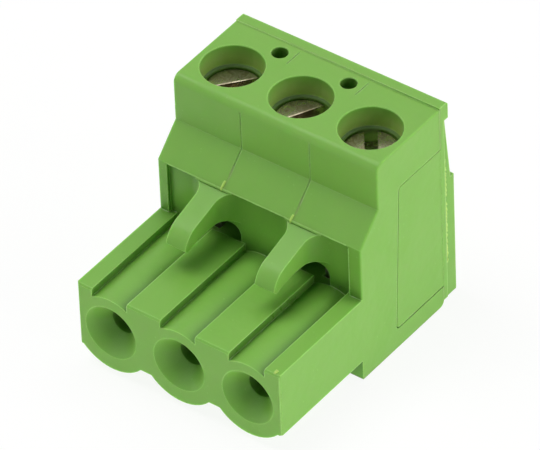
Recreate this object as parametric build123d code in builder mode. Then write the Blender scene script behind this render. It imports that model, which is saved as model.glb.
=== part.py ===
"""Pluggable screw terminal block with three poles at 5.08 mm pitch.

The plug section points to the front (-Y), the wire entries to the rear (+Y) and
the clamping screws up. A moulded housing carries a socket contact, a rising
clamp cage and a captive slotted screw in each pole, and a snap-on rear cover
with two side cheeks closes the chambers round the wire entries.
"""
import os

from build123d import *

os.makedirs("parts", exist_ok=True)

# Poles and overall lengths, from the front face back, in millimetres
POLES = 3
PITCH = 5.08
END_TRIM = 0.24
BODY_HEIGHT = 15.2
PLUG_LENGTH = 8.25
SLOPE_RUN = 1.85
HEAD_LENGTH = 6.3
COVER_DEPTH = 1.8

# Plug section: sleeves round the pins, ribs and slots on top
PIN_Z = 3.33
PLUG_BOTTOM = 1.45
PLUG_TOP = 6.15
SCALLOP_R = 2.85
SLOT_WIDTH = 2.6
SLOT_DEPTH = 0.58
SLOT_CROWN = 0.35
NOSE_CHAMFER = 0.12
NOSE_CORNER_R = 0.15
FUNNEL_R = 1.88
FUNNEL_DEPTH = 1.3
THROAT_R = 0.85
THROAT_LENGTH = 1.5

# Head of the housing
SLOPE_BOTTOM = 10.0
STEP_LEAD = 0.1
HEAD_ROUND = 0.55
HEEL_ROUND = 0.4
SIDE_ROUND = 0.1
RIM_CHAMFER = 0.04

# Fine weld grooves at the pole boundaries, down the front and at the rear of the top
WELD_WIDTH = 0.08
WELD_DEPTH = 0.05
WELD_TOP_Z = 14.65
WELD_TOP_FRONT = 14.75
WELD_TOP_BACK = 16.1

# Shallow pocket in the lower front wall, with the two latching hooks
POCKET_DEPTH = 0.25
POCKET_LEFT = 0.66
POCKET_RIGHT = 0.9
POCKET_HEADROOM = 0.08
POCKET_CORNER_R = 0.15
HOOK_SPACING = 6.56
HOOK_WIDTH = 1.43
HOOK_FLARE_R = 1.2
HOOK_REACH = 4.2
HOOK_DROP = 2.07
HOOK_NOSE_RUN = 1.3
HOOK_NOSE_RISE = 1.21
HOOK_BROW = 0.25
HOOK_TIP = 0.25
HOOK_TIP_BACK = 0.25
HOOK_ARCH = 0.32
WINDOW_WIDTH = 3.4
WINDOW_HEIGHT = 1.8
WINDOW_CORNER_R = 0.8
WINDOW_WALL = 1.6

# Clamping screws and their wells
WELL_TO_SEAM = 3.59
WELL_GAP = 0.22
SEAT_GAP = 0.05
SEAT_LEAD = 0.2
SCREW_DROP = 1.62
SCREW_HEAD_R = 1.75
SCREW_HEAD_HEIGHT = 2.0
SCREW_HEAD_BEVEL = 0.15
SCREW_SHANK_R = 1.3
SCREW_TIP_CHAMFER = 0.3
DRIVE_WIDTH = 0.8
DRIVE_DEPTH = 0.9
DRIVE_ANGLES = (51, 63, 127)

# Test probe holes beside the wells
TEST_R = 0.52
TEST_SIDE = 1.57
TEST_TO_SEAM = 0.98

# Rising clamp cages
CAGE_LENGTH = 4.1
CAGE_SIDE = 0.39
CAGE_FLOOR = 0.8
CAGE_NUT = 1.5
CAGE_ROUND = 0.3
WIRE_GAP = 2.7
WIRE_LEAST = 0.45

# Contacts: a fork socket, a riser and the bar that the wire is clamped to
STRIP = 0.8
BAR_BOTTOM = 5.7
STRIP_WIDTH = 2.4
BAR_TO_CAGE = 0.2
FORK_HEIGHT = 2.4
FORK_LENGTH = 5.4
FORK_BORE = 1.2
FORK_SPLIT = 0.5
FORK_SPLIT_LENGTH = 4.2
RISER_SETBACK = 1.0
RISER_GAP = 0.2
STOP_LENGTH = 0.8

# Rear cover
FLANGE = 0.4
FLANGE_FOOT = 0.35
INSET = 0.3
LIP_RISE = 0.12
LIP_FALL = 0.09
LIP_DEPTH = 0.82
LIP_HEIGHT = 1.2
LIP_ROUND = 0.2
BACK_TOP_DEPTH = 0.8
BACK_LOW_DEPTH = 1.33
COLLAR_TOP = 9.03
COLLAR_ROUND = 0.2
CHEEK_LENGTH = 4.26
CHEEK_LEAN = 0.58
CHEEK_TOP = 12.2
CHEEK_BOTTOM = 1.4
CHEEK_CORNER_R = 0.3
CHEEK_SHY = 0.01
SEAM = 0.1
ENTRY_WIDTH = 3.2
ENTRY_HEIGHT = 2.9
ENTRY_CORNER_R = 0.6
ENTRY_FLARE = 0.35
ENTRY_FLARE_DEPTH = 0.9

# Clearances
SLIDE_GAP = 0.05
TURN_GAP = 0.06
FLOOR_GAP = 0.1
CAGE_HEADROOM = 0.25
TOUCH = 0.01

# Lengths that follow from the sizes above
WIDTH = POLES * PITCH - END_TRIM
HEAD_FRONT = PLUG_LENGTH + SLOPE_RUN
SEAM_Y = HEAD_FRONT + HEAD_LENGTH
DEPTH = SEAM_Y + COVER_DEPTH
SLOPE_TOP = SLOPE_BOTTOM + SLOPE_RUN
BASE_FRONT = PLUG_LENGTH - STEP_LEAD
SLOT_EDGE_Z = PLUG_TOP - SLOT_DEPTH
POCKET_BACK = PLUG_LENGTH + POCKET_DEPTH
POCKET_TOP = SLOPE_BOTTOM - POCKET_HEADROOM
WELL_R = SCREW_HEAD_R + WELL_GAP
SEAT_R = SCREW_HEAD_R + SEAT_GAP
SHANK_HOLE_R = SCREW_SHANK_R + 2 * TURN_GAP
WELL_Y = SEAM_Y - WELL_TO_SEAM
TEST_Y = SEAM_Y - TEST_TO_SEAM
HEAD_TOP_Z = BODY_HEIGHT - SCREW_DROP
HEAD_SEAT_Z = HEAD_TOP_Z - SCREW_HEAD_HEIGHT - SLIDE_GAP
BAR_TOP = BAR_BOTTOM + STRIP
CAGE_INSIDE_WIDTH = 2 * (SCREW_SHANK_R + TURN_GAP)
CAGE_WIDTH = CAGE_INSIDE_WIDTH + 2 * CAGE_SIDE
CAGE_INSIDE_BOTTOM = BAR_BOTTOM - WIRE_GAP
CAGE_INSIDE_TOP = BAR_TOP + BAR_TO_CAGE
CAGE_BOTTOM = CAGE_INSIDE_BOTTOM - CAGE_FLOOR
CAGE_TOP = CAGE_INSIDE_TOP + CAGE_NUT
CAGE_TRAVEL = WIRE_GAP - WIRE_LEAST
CHAMBER_BOTTOM = CAGE_BOTTOM - FLOOR_GAP
CHAMBER_TOP = CAGE_TOP + CAGE_TRAVEL + CAGE_HEADROOM
CHAMBER_WIDTH = CAGE_WIDTH + 2 * SLIDE_GAP
CHAMBER_FRONT = WELL_Y - CAGE_LENGTH / 2 - CAGE_HEADROOM
FORK_FRONT = FUNNEL_DEPTH + THROAT_LENGTH
RISER_FRONT = POCKET_BACK + RISER_SETBACK
BAY_FRONT = RISER_FRONT - RISER_GAP
WINDOW_BACK = POCKET_BACK + WINDOW_WALL
STOP_BACK = WELL_Y + CAGE_LENGTH / 2 + CAGE_HEADROOM + STOP_LENGTH
WIRE_Z = BAR_BOTTOM - WIRE_GAP / 2

POLE_X = [(index - (POLES - 1) / 2) * PITCH for index in range(POLES)]
WELD_X = [pole_x + PITCH / 2 for pole_x in POLE_X[:-1]]
HOOK_X = [-HOOK_SPACING / 2, HOOK_SPACING / 2]
TEST_X = [pole_x + TEST_SIDE for pole_x in POLE_X[:-1]]
FRONT = -DEPTH / 2


def facing_front(y):
    """Plane across the block, y behind the front face; sketch points are (x, z)."""
    return Plane((0, FRONT + y, 0), x_dir=(1, 0, 0), z_dir=(0, -1, 0))


def facing_side(x):
    """Plane along the block at x; sketch points are (distance from the front face, z)."""
    return Plane((x, FRONT, 0), x_dir=(0, 1, 0), z_dir=(1, 0, 0))


def facing_up(z):
    """Level plane at z; sketch points are (x, distance from the front face)."""
    return Plane((0, FRONT, z), x_dir=(1, 0, 0), z_dir=(0, 0, 1))


def along_x(edges, y, z):
    """The edges parallel to X that run at depth y and height z."""
    return edges.filter_by(Axis.X).filter_by(
        lambda edge: abs(edge.center().Y - FRONT - y) < TOUCH and abs(edge.center().Z - z) < TOUCH
    )


def cheek_corners(shy):
    """Side view of a cheek of the cover, smaller than its recess by shy at the front, top and bottom."""
    top_front = SEAM_Y - CHEEK_LENGTH + shy
    return [
        (SEAM_Y, CHEEK_BOTTOM + shy),
        (top_front - CHEEK_LEAN, CHEEK_BOTTOM + shy),
        (top_front, CHEEK_TOP - shy),
        (SEAM_Y, CHEEK_TOP - shy),
    ]


def finish(part, label):
    """Name a finished piece and write it as its own STEP file."""
    part.label = label
    export_step(part, f"parts/{label}.step")


# Latching hook: a drooping beak whose root flares into the wall
HOOK_ROOT_Y = POCKET_BACK + POCKET_DEPTH / 2
HOOK_NOSE_Y = POCKET_BACK - HOOK_REACH
HOOK_NOSE_Z = POCKET_TOP - HOOK_DROP
HOOK_UNDER_Z = HOOK_NOSE_Z - HOOK_TIP
with BuildPart() as hook:
    with BuildSketch(facing_side(0)):
        with BuildLine():
            nose = SagittaArc(
                (HOOK_NOSE_Y, HOOK_NOSE_Z),
                (HOOK_NOSE_Y + HOOK_NOSE_RUN, HOOK_NOSE_Z + HOOK_NOSE_RISE),
                HOOK_BROW,
            )
            Line(nose @ 1, (HOOK_ROOT_Y, POCKET_TOP))
            Line((HOOK_ROOT_Y, POCKET_TOP), (HOOK_ROOT_Y, HOOK_UNDER_Z))
            under = ThreePointArc(
                (HOOK_ROOT_Y, HOOK_UNDER_Z),
                ((HOOK_ROOT_Y + HOOK_NOSE_Y) / 2, HOOK_UNDER_Z + HOOK_ARCH),
                (HOOK_NOSE_Y + HOOK_TIP_BACK, HOOK_UNDER_Z),
            )
            Line(under @ 1, nose @ 0)
        make_face()
    extrude(amount=HOOK_WIDTH / 2 + HOOK_FLARE_R, both=True)
    with BuildSketch(facing_up(0)):
        with BuildLine():
            right_flare = RadiusArc(
                (HOOK_WIDTH / 2, POCKET_BACK - HOOK_FLARE_R),
                (HOOK_WIDTH / 2 + HOOK_FLARE_R, POCKET_BACK),
                HOOK_FLARE_R,
            )
            Line(right_flare @ 1, (HOOK_WIDTH / 2 + HOOK_FLARE_R, HOOK_ROOT_Y))
            Line((HOOK_WIDTH / 2 + HOOK_FLARE_R, HOOK_ROOT_Y), (0, HOOK_ROOT_Y))
            Line((0, HOOK_ROOT_Y), (0, HOOK_NOSE_Y))
            Line((0, HOOK_NOSE_Y), (HOOK_WIDTH / 2, HOOK_NOSE_Y))
            Line((HOOK_WIDTH / 2, HOOK_NOSE_Y), right_flare @ 0)
        make_face()
        mirror(about=Plane.YZ)
    extrude(amount=BODY_HEIGHT, mode=Mode.INTERSECT)

# Moulded housing
with BuildPart() as housing:
    with BuildSketch(facing_side(0)):
        with BuildLine():
            Polyline(
                (0, PLUG_BOTTOM),
                (0, PLUG_TOP),
                (PLUG_LENGTH, PLUG_TOP),
                (PLUG_LENGTH, SLOPE_BOTTOM),
                (HEAD_FRONT, SLOPE_TOP),
                (HEAD_FRONT, BODY_HEIGHT),
                (SEAM_Y, BODY_HEIGHT),
                (SEAM_Y, 0),
                (BASE_FRONT, 0),
                (BASE_FRONT, PLUG_BOTTOM),
                close=True,
            )
        make_face()
    extrude(amount=WIDTH / 2, both=True)
    fillet(along_x(housing.edges(), HEAD_FRONT, BODY_HEIGHT), HEAD_ROUND)
    outline = housing.faces().filter_by(Axis.X).edges()
    outline = outline.filter_by(
        lambda edge: edge.center().Z > PLUG_TOP + TOUCH and edge.center().Y < FRONT + SEAM_Y - TOUCH
    )
    fillet(outline, SIDE_ROUND)
    fillet(along_x(housing.edges(), SEAM_Y, 0), HEEL_ROUND)

    # Rounded sleeves under the plug section, one round each pin
    with BuildSketch(facing_front(0)):
        with Locations(*[(pole_x, PIN_Z) for pole_x in POLE_X]):
            Circle(SCALLOP_R)
        with Locations((0, PLUG_BOTTOM / 2)):
            Rectangle(WIDTH, PLUG_BOTTOM, mode=Mode.INTERSECT)
    extrude(amount=-BASE_FRONT)

    # Pocket in the lower front wall
    with BuildSketch(facing_front(PLUG_LENGTH)) as pocket:
        with Locations(((POCKET_LEFT - POCKET_RIGHT) / 2, (PLUG_TOP + POCKET_TOP) / 2)):
            Rectangle(WIDTH - POCKET_LEFT - POCKET_RIGHT, POCKET_TOP - PLUG_TOP)
        fillet(pocket.vertices().group_by(Axis.Y)[-1], POCKET_CORNER_R)
    extrude(amount=-POCKET_DEPTH, mode=Mode.SUBTRACT)

    # Slots with a slightly arched floor, which leave the ribs between the poles
    for pole_x in POLE_X:
        with BuildSketch(facing_front(0)):
            with BuildLine():
                floor = ThreePointArc(
                    (pole_x - SLOT_WIDTH / 2, SLOT_EDGE_Z),
                    (pole_x, SLOT_EDGE_Z + SLOT_CROWN),
                    (pole_x + SLOT_WIDTH / 2, SLOT_EDGE_Z),
                )
                Polyline(
                    floor @ 1,
                    (pole_x + SLOT_WIDTH / 2, PLUG_TOP),
                    (pole_x - SLOT_WIDTH / 2, PLUG_TOP),
                    floor @ 0,
                )
            make_face()
        extrude(amount=-POCKET_BACK, mode=Mode.SUBTRACT)
    nose_edges = housing.edges().filter_by(
        lambda edge: abs(edge.center().Y - FRONT) < TOUCH and edge.center().Z > PLUG_TOP - TOUCH
    )
    chamfer(nose_edges, NOSE_CHAMFER)
    nose_corners = housing.edges().filter_by(Axis.Z).filter_by(
        lambda edge: abs(edge.center().Y - FRONT) < TOUCH and abs(edge.center().X) > WIDTH / 2 - TOUCH
    )
    chamfer(nose_corners, NOSE_CORNER_R)

    # Hooks, each over a window that opens into the chambers
    with Locations(*[(hook_x, 0, 0) for hook_x in HOOK_X]):
        add(hook.part)
    with BuildSketch(facing_front(WINDOW_BACK)) as windows:
        with Locations(*[(hook_x, SLOT_EDGE_Z + WINDOW_HEIGHT / 2) for hook_x in HOOK_X]):
            Rectangle(WINDOW_WIDTH, WINDOW_HEIGHT)
        fillet(windows.vertices().group_by(Axis.Y)[-1], WINDOW_CORNER_R)
    extrude(amount=WINDOW_WALL, mode=Mode.SUBTRACT)

    # Funnels that lead the pins into the sockets
    for pole_x in POLE_X:
        with BuildSketch(facing_side(pole_x)):
            with BuildLine():
                Polyline(
                    (0, PIN_Z),
                    (0, PIN_Z + FUNNEL_R),
                    (FUNNEL_DEPTH, PIN_Z + THROAT_R),
                    (FORK_FRONT, PIN_Z + THROAT_R),
                    (FORK_FRONT, PIN_Z),
                    close=True,
                )
            make_face()
        revolve(axis=Axis((pole_x, FRONT, PIN_Z), (0, 1, 0)), mode=Mode.SUBTRACT)

    # Passages for the sockets, riser bays behind the windows, and cage chambers
    with BuildSketch(facing_front(SEAM_Y)):
        with Locations(*[(pole_x, PIN_Z + SLIDE_GAP / 2) for pole_x in POLE_X]):
            Rectangle(STRIP_WIDTH + 2 * SLIDE_GAP, FORK_HEIGHT + SLIDE_GAP)
    extrude(amount=SEAM_Y - FORK_FRONT, mode=Mode.SUBTRACT)
    with BuildSketch(facing_front(CHAMBER_FRONT)):
        bay_bottom = PIN_Z - FORK_HEIGHT / 2
        bay_top = SLOT_EDGE_Z + WINDOW_HEIGHT
        with Locations(*[(pole_x, (bay_bottom + bay_top) / 2) for pole_x in POLE_X]):
            Rectangle(STRIP_WIDTH + 2 * SLIDE_GAP, bay_top - bay_bottom)
    extrude(amount=CHAMBER_FRONT - BAY_FRONT, mode=Mode.SUBTRACT)
    with BuildSketch(facing_front(SEAM_Y)):
        with Locations(*[(pole_x, (CHAMBER_BOTTOM + CHAMBER_TOP) / 2) for pole_x in POLE_X]):
            Rectangle(CHAMBER_WIDTH, CHAMBER_TOP - CHAMBER_BOTTOM)
    extrude(amount=SEAM_Y - CHAMBER_FRONT, mode=Mode.SUBTRACT)

    # Wells that guide the driver, narrow to a close seat round each head and let the shank through
    for pole_x in POLE_X:
        with BuildSketch(facing_side(pole_x)):
            with BuildLine():
                Polyline(
                    (WELL_Y, BODY_HEIGHT),
                    (WELL_Y + WELL_R, BODY_HEIGHT),
                    (WELL_Y + WELL_R, HEAD_TOP_Z + SEAT_LEAD),
                    (WELL_Y + SEAT_R, HEAD_TOP_Z + SLIDE_GAP),
                    (WELL_Y + SEAT_R, HEAD_SEAT_Z),
                    (WELL_Y + SHANK_HOLE_R, HEAD_SEAT_Z),
                    (WELL_Y + SHANK_HOLE_R, CHAMBER_TOP - TOUCH),
                    (WELL_Y, CHAMBER_TOP - TOUCH),
                    close=True,
                )
            make_face()
        revolve(axis=Axis((pole_x, FRONT + WELL_Y, 0), (0, 0, 1)), mode=Mode.SUBTRACT)

    # Probe holes down to the contacts
    with Locations(facing_up(BODY_HEIGHT)):
        with Locations(*[(test_x, TEST_Y) for test_x in TEST_X]):
            Hole(radius=TEST_R, depth=BODY_HEIGHT - BAR_TOP)
    rims = housing.faces().filter_by(Axis.Z).sort_by(Axis.Z)[-1].edges().filter_by(GeomType.CIRCLE)
    chamfer(rims, RIM_CHAMFER)

    # Weld grooves
    for weld_x in WELD_X:
        with BuildSketch(facing_side(weld_x)):
            slant = WELD_DEPTH * 2 ** 0.5
            bend_z = SLOPE_TOP + WELD_DEPTH - slant
            with BuildLine():
                Polyline(
                    (PLUG_LENGTH - WELD_DEPTH, SLOPE_BOTTOM - slant - WELD_DEPTH),
                    (HEAD_FRONT - WELD_DEPTH, SLOPE_TOP),
                    (HEAD_FRONT - WELD_DEPTH, WELD_TOP_Z),
                    (HEAD_FRONT + WELD_DEPTH, WELD_TOP_Z),
                    (HEAD_FRONT + WELD_DEPTH, bend_z),
                    (PLUG_LENGTH + WELD_DEPTH, SLOPE_BOTTOM + WELD_DEPTH - slant),
                    (PLUG_LENGTH + WELD_DEPTH, SLOPE_BOTTOM - slant - WELD_DEPTH),
                    close=True,
                )
            make_face()
        extrude(amount=WELD_WIDTH / 2, both=True, mode=Mode.SUBTRACT)
    with BuildSketch(facing_up(BODY_HEIGHT)):
        with Locations(*[(weld_x, (WELD_TOP_FRONT + WELD_TOP_BACK) / 2) for weld_x in WELD_X]):
            Rectangle(WELD_WIDTH, WELD_TOP_BACK - WELD_TOP_FRONT)
    extrude(amount=-WELD_DEPTH, mode=Mode.SUBTRACT)

    # Recesses in the end walls for the cheeks of the rear cover
    for side in (-1, 1):
        with BuildSketch(facing_side(side * (WIDTH / 2 - INSET))) as recess:
            with BuildLine():
                Polyline(*cheek_corners(0), close=True)
            make_face()
            fillet(recess.vertices().sort_by(Axis.X)[:2], CHEEK_CORNER_R)
        extrude(amount=side * INSET, mode=Mode.SUBTRACT)
finish(housing.part, "housing")

# Rear cover with lip, wire-entry collar, cheeks and locating bosses
with BuildPart() as rear_cover:
    with BuildSketch(facing_side(0)):
        with BuildLine():
            Polyline(
                (SEAM_Y, FLANGE_FOOT),
                (SEAM_Y, BODY_HEIGHT + LIP_RISE),
                (SEAM_Y + LIP_DEPTH, BODY_HEIGHT + LIP_RISE),
                (SEAM_Y + LIP_DEPTH, BODY_HEIGHT + LIP_RISE - LIP_HEIGHT),
                (SEAM_Y + FLANGE, BODY_HEIGHT + LIP_RISE - LIP_HEIGHT),
                (SEAM_Y + FLANGE, FLANGE_FOOT),
                close=True,
            )
        make_face()
    extrude(amount=WIDTH / 2, both=True)

    # The lip stands a little lower at its left end
    with BuildSketch(facing_front(SEAM_Y)):
        with BuildLine():
            Polyline(
                (-WIDTH / 2, BODY_HEIGHT + LIP_RISE - LIP_FALL),
                (WIDTH / 2, BODY_HEIGHT + LIP_RISE),
                (-WIDTH / 2, BODY_HEIGHT + LIP_RISE),
                close=True,
            )
        make_face()
    extrude(amount=-LIP_DEPTH, mode=Mode.SUBTRACT)
    lip_edge = rear_cover.edges().filter_by(
        lambda edge: abs(edge.center().Y - FRONT - SEAM_Y - LIP_DEPTH) < TOUCH and edge.center().Z > BODY_HEIGHT
    )
    fillet(lip_edge, LIP_ROUND)

    # Block with the collar, set in from the sides
    with BuildSketch(facing_side(0)):
        with BuildLine():
            Polyline(
                (SEAM_Y, 0),
                (SEAM_Y, BODY_HEIGHT + LIP_RISE - LIP_HEIGHT),
                (SEAM_Y + BACK_TOP_DEPTH, BODY_HEIGHT + LIP_RISE - LIP_HEIGHT),
                (SEAM_Y + BACK_LOW_DEPTH, COLLAR_TOP),
                (DEPTH, COLLAR_TOP),
                (DEPTH, 0),
                close=True,
            )
        make_face()
    extrude(amount=WIDTH / 2 - INSET, both=True)
    collar_rim = rear_cover.faces().filter_by(Axis.Y).sort_by(Axis.Y)[-1].edges()
    fillet(collar_rim, COLLAR_ROUND)

    # Cheeks that lie in the end walls of the housing
    for side in (-1, 1):
        with BuildSketch(facing_side(side * (WIDTH / 2 - INSET))) as cheek:
            with BuildLine():
                Polyline(*cheek_corners(SEAM), close=True)
            make_face()
            fillet(cheek.vertices().sort_by(Axis.X)[:2], CHEEK_CORNER_R - SEAM)
        extrude(amount=side * (INSET - CHEEK_SHY))

    # Bosses that close the chambers and hold the contacts in place
    with BuildSketch(facing_front(SEAM_Y)):
        with Locations(*[(pole_x, WIRE_Z) for pole_x in POLE_X]):
            Rectangle(CAGE_WIDTH, 2 * (WIRE_Z - CHAMBER_BOTTOM - SLIDE_GAP))
    extrude(amount=SEAM_Y - STOP_BACK)

    # Wire entries, flared at the rear
    for pole_x in POLE_X:
        with BuildSketch(facing_front(DEPTH)):
            with Locations((pole_x, WIRE_Z)):
                RectangleRounded(ENTRY_WIDTH, ENTRY_HEIGHT, ENTRY_CORNER_R)
        extrude(amount=DEPTH - STOP_BACK, mode=Mode.SUBTRACT)
        with BuildSketch(facing_front(DEPTH)):
            with Locations((pole_x, WIRE_Z)):
                RectangleRounded(
                    ENTRY_WIDTH + 2 * ENTRY_FLARE,
                    ENTRY_HEIGHT + 2 * ENTRY_FLARE,
                    ENTRY_CORNER_R + ENTRY_FLARE,
                )
        with BuildSketch(facing_front(DEPTH - ENTRY_FLARE_DEPTH)):
            with Locations((pole_x, WIRE_Z)):
                RectangleRounded(ENTRY_WIDTH, ENTRY_HEIGHT, ENTRY_CORNER_R)
        loft(mode=Mode.SUBTRACT)
finish(rear_cover.part, "rear_cover")

for number, pole_x in enumerate(POLE_X, start=1):
    # Contact: fork socket in front, riser, and a bar with a stop at its rear end
    with BuildPart() as contact:
        with BuildSketch(facing_front(FORK_FRONT)):
            with Locations((pole_x, PIN_Z)):
                Rectangle(STRIP_WIDTH, FORK_HEIGHT)
                Rectangle(FORK_BORE, FORK_BORE, mode=Mode.SUBTRACT)
        extrude(amount=-FORK_LENGTH)
        with BuildSketch(facing_front(FORK_FRONT)):
            with Locations((pole_x, PIN_Z)):
                Rectangle(FORK_SPLIT, FORK_HEIGHT)
        extrude(amount=-FORK_SPLIT_LENGTH, mode=Mode.SUBTRACT)
        with BuildSketch(facing_side(pole_x)):
            link_top = PIN_Z + FORK_HEIGHT / 2
            with BuildLine():
                Polyline(
                    (FORK_FRONT + FORK_LENGTH - STRIP, link_top),
                    (RISER_FRONT, link_top),
                    (RISER_FRONT, BAR_TOP),
                    (STOP_BACK, BAR_TOP),
                    (STOP_BACK, BAR_BOTTOM),
                    (RISER_FRONT + STRIP, BAR_BOTTOM),
                    (RISER_FRONT + STRIP, link_top - STRIP),
                    (FORK_FRONT + FORK_LENGTH - STRIP, link_top - STRIP),
                    close=True,
                )
            make_face()
        extrude(amount=STRIP_WIDTH / 2, both=True)
        with BuildSketch(facing_up(BAR_BOTTOM)):
            with Locations((pole_x, STOP_BACK - STOP_LENGTH / 2)):
                Rectangle(CAGE_WIDTH, STOP_LENGTH)
        extrude(amount=STRIP)
    finish(contact.part, f"contact_{number}")

    # Clamp cage, shown lowered for the wire to go in
    with BuildPart() as cage:
        with BuildSketch(facing_front(WELL_Y + CAGE_LENGTH / 2)) as section:
            with Locations((pole_x, (CAGE_BOTTOM + CAGE_TOP) / 2)):
                Rectangle(CAGE_WIDTH, CAGE_TOP - CAGE_BOTTOM)
            fillet(section.vertices(), CAGE_ROUND)
            with Locations((pole_x, (CAGE_INSIDE_BOTTOM + CAGE_INSIDE_TOP) / 2)):
                Rectangle(CAGE_INSIDE_WIDTH, CAGE_INSIDE_TOP - CAGE_INSIDE_BOTTOM, mode=Mode.SUBTRACT)
        extrude(amount=CAGE_LENGTH)
        with Locations(facing_up(CAGE_TOP)):
            with Locations((pole_x, WELL_Y)):
                Hole(radius=SCREW_SHANK_R + TURN_GAP, depth=CAGE_NUT)
    finish(cage.part, f"clamp_cage_{number}")

    # Captive slotted screw, whose tip bears on the bar
    with BuildPart() as screw:
        with BuildSketch(facing_side(pole_x)):
            with BuildLine():
                Polyline(
                    (WELL_Y, HEAD_TOP_Z),
                    (WELL_Y + SCREW_HEAD_R, HEAD_TOP_Z),
                    (WELL_Y + SCREW_HEAD_R, HEAD_TOP_Z - SCREW_HEAD_HEIGHT),
                    (WELL_Y + SCREW_SHANK_R, HEAD_TOP_Z - SCREW_HEAD_HEIGHT),
                    (WELL_Y + SCREW_SHANK_R, BAR_TOP + SLIDE_GAP + SCREW_TIP_CHAMFER),
                    (WELL_Y + SCREW_SHANK_R - SCREW_TIP_CHAMFER, BAR_TOP + SLIDE_GAP),
                    (WELL_Y, BAR_TOP + SLIDE_GAP),
                    close=True,
                )
            make_face()
        revolve(axis=Axis((pole_x, FRONT + WELL_Y, 0), (0, 0, 1)))
        head_rim = screw.faces().filter_by(Axis.Z).sort_by(Axis.Z)[-1].edges()
        chamfer(head_rim, SCREW_HEAD_BEVEL)
        with BuildSketch(facing_up(HEAD_TOP_Z)):
            with Locations(Location((pole_x, WELL_Y), DRIVE_ANGLES[(number - 1) % len(DRIVE_ANGLES)])):
                Rectangle(2 * SCREW_HEAD_R + DRIVE_WIDTH, DRIVE_WIDTH)
        extrude(amount=-DRIVE_DEPTH, mode=Mode.SUBTRACT)
    finish(screw.part, f"screw_{number}")
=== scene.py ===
"""Studio scene of a three-pole pluggable screw terminal block in moulded green polyamide.

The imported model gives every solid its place. This script gives each one its finish, models the
threaded clamping screws and the small moulding marks, and sets up the camera, the lamps and the floor.
"""
import logging
import math
import random
from collections.abc import Callable
from dataclasses import dataclass
from enum import Enum

import bpy
from mathutils import Matrix, Vector


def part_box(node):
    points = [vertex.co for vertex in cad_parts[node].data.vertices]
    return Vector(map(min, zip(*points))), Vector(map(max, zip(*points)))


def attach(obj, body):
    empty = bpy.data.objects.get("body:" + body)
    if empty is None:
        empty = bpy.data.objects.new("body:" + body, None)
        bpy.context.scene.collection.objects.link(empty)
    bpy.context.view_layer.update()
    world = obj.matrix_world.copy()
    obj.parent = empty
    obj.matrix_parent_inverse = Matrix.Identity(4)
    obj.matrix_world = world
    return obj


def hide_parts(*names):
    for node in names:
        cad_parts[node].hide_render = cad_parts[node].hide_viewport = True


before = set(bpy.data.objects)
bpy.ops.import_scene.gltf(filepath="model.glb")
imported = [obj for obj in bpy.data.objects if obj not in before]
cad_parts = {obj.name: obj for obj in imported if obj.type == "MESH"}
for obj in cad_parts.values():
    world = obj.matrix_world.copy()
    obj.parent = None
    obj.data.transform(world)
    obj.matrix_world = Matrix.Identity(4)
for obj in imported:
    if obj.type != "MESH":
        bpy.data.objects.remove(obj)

logging.basicConfig(level=logging.INFO, format="%(levelname)s %(message)s")
LOG = logging.getLogger("terminal_block")

MM = 0.001
PITCH_MM = 5.08
WELL_Y_MM = 3.71
PIN_Z_MM = 3.33
POLES = (1, 2, 3)
WHITE = (1.0, 1.0, 1.0, 1.0)
MERGE_MM = 0.0005
NEAR_MM = 0.01

Material = bpy.types.Material
Piece = bpy.types.Object
Socket = bpy.types.NodeSocket
Tree = bpy.types.NodeTree
Colour = tuple[float, float, float, float]
Point = tuple[float, float, float]
Span = tuple[float, float]


def linear(code: str) -> Colour:
    """Turn an sRGB hex code into the linear colour that shaders and lamps take.

    Args:
        code: Six hex digits, with or without a leading hash.

    Returns:
        Linear red, green, blue and an alpha of 1.
    """
    digits = code.lstrip("#")
    channels = [int(digits[start:start + 2], 16) / 255 for start in (0, 2, 4)]
    red, green, blue = (c / 12.92 if c <= 0.04045 else ((c + 0.055) / 1.055) ** 2.4 for c in channels)
    return red, green, blue, 1.0


def add_node(tree: Tree, kind: str, inputs: dict | None = None, **settings) -> bpy.types.Node:
    """Add a node with its settings, and fill or link its inputs.

    Args:
        tree: The node tree that gets the node.
        kind: The node's type name.
        inputs: Input name or number to a plain value, or to the output socket that it is linked to.
        settings: Properties of the node itself.

    Returns:
        The new node.
    """
    node = tree.nodes.new(kind)
    for name, value in settings.items():
        setattr(node, name, value)
    for key, value in (inputs or {}).items():
        socket = node.inputs[key]
        if isinstance(value, Socket):
            tree.links.new(value, socket)
        else:
            socket.default_value = value
    return node


def empty_material(name: str) -> tuple[Material, Tree]:
    """Make a material with an empty node tree.

    Args:
        name: The material's name.

    Returns:
        The material and its tree.
    """
    material = bpy.data.materials.new(name)
    material.use_nodes = True
    material.node_tree.nodes.clear()
    return material, material.node_tree


def millimetres(tree: Tree) -> Socket:
    """Give the surface point in millimetres of the object's own frame.

    Args:
        tree: The material's node tree.

    Returns:
        The vector socket that patterns are drawn on.
    """
    place = add_node(tree, "ShaderNodeTexCoord")
    scaled = add_node(tree, "ShaderNodeMapping", {"Vector": place.outputs["Object"], "Scale": (1 / MM,) * 3})
    return scaled.outputs["Vector"]


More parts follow.
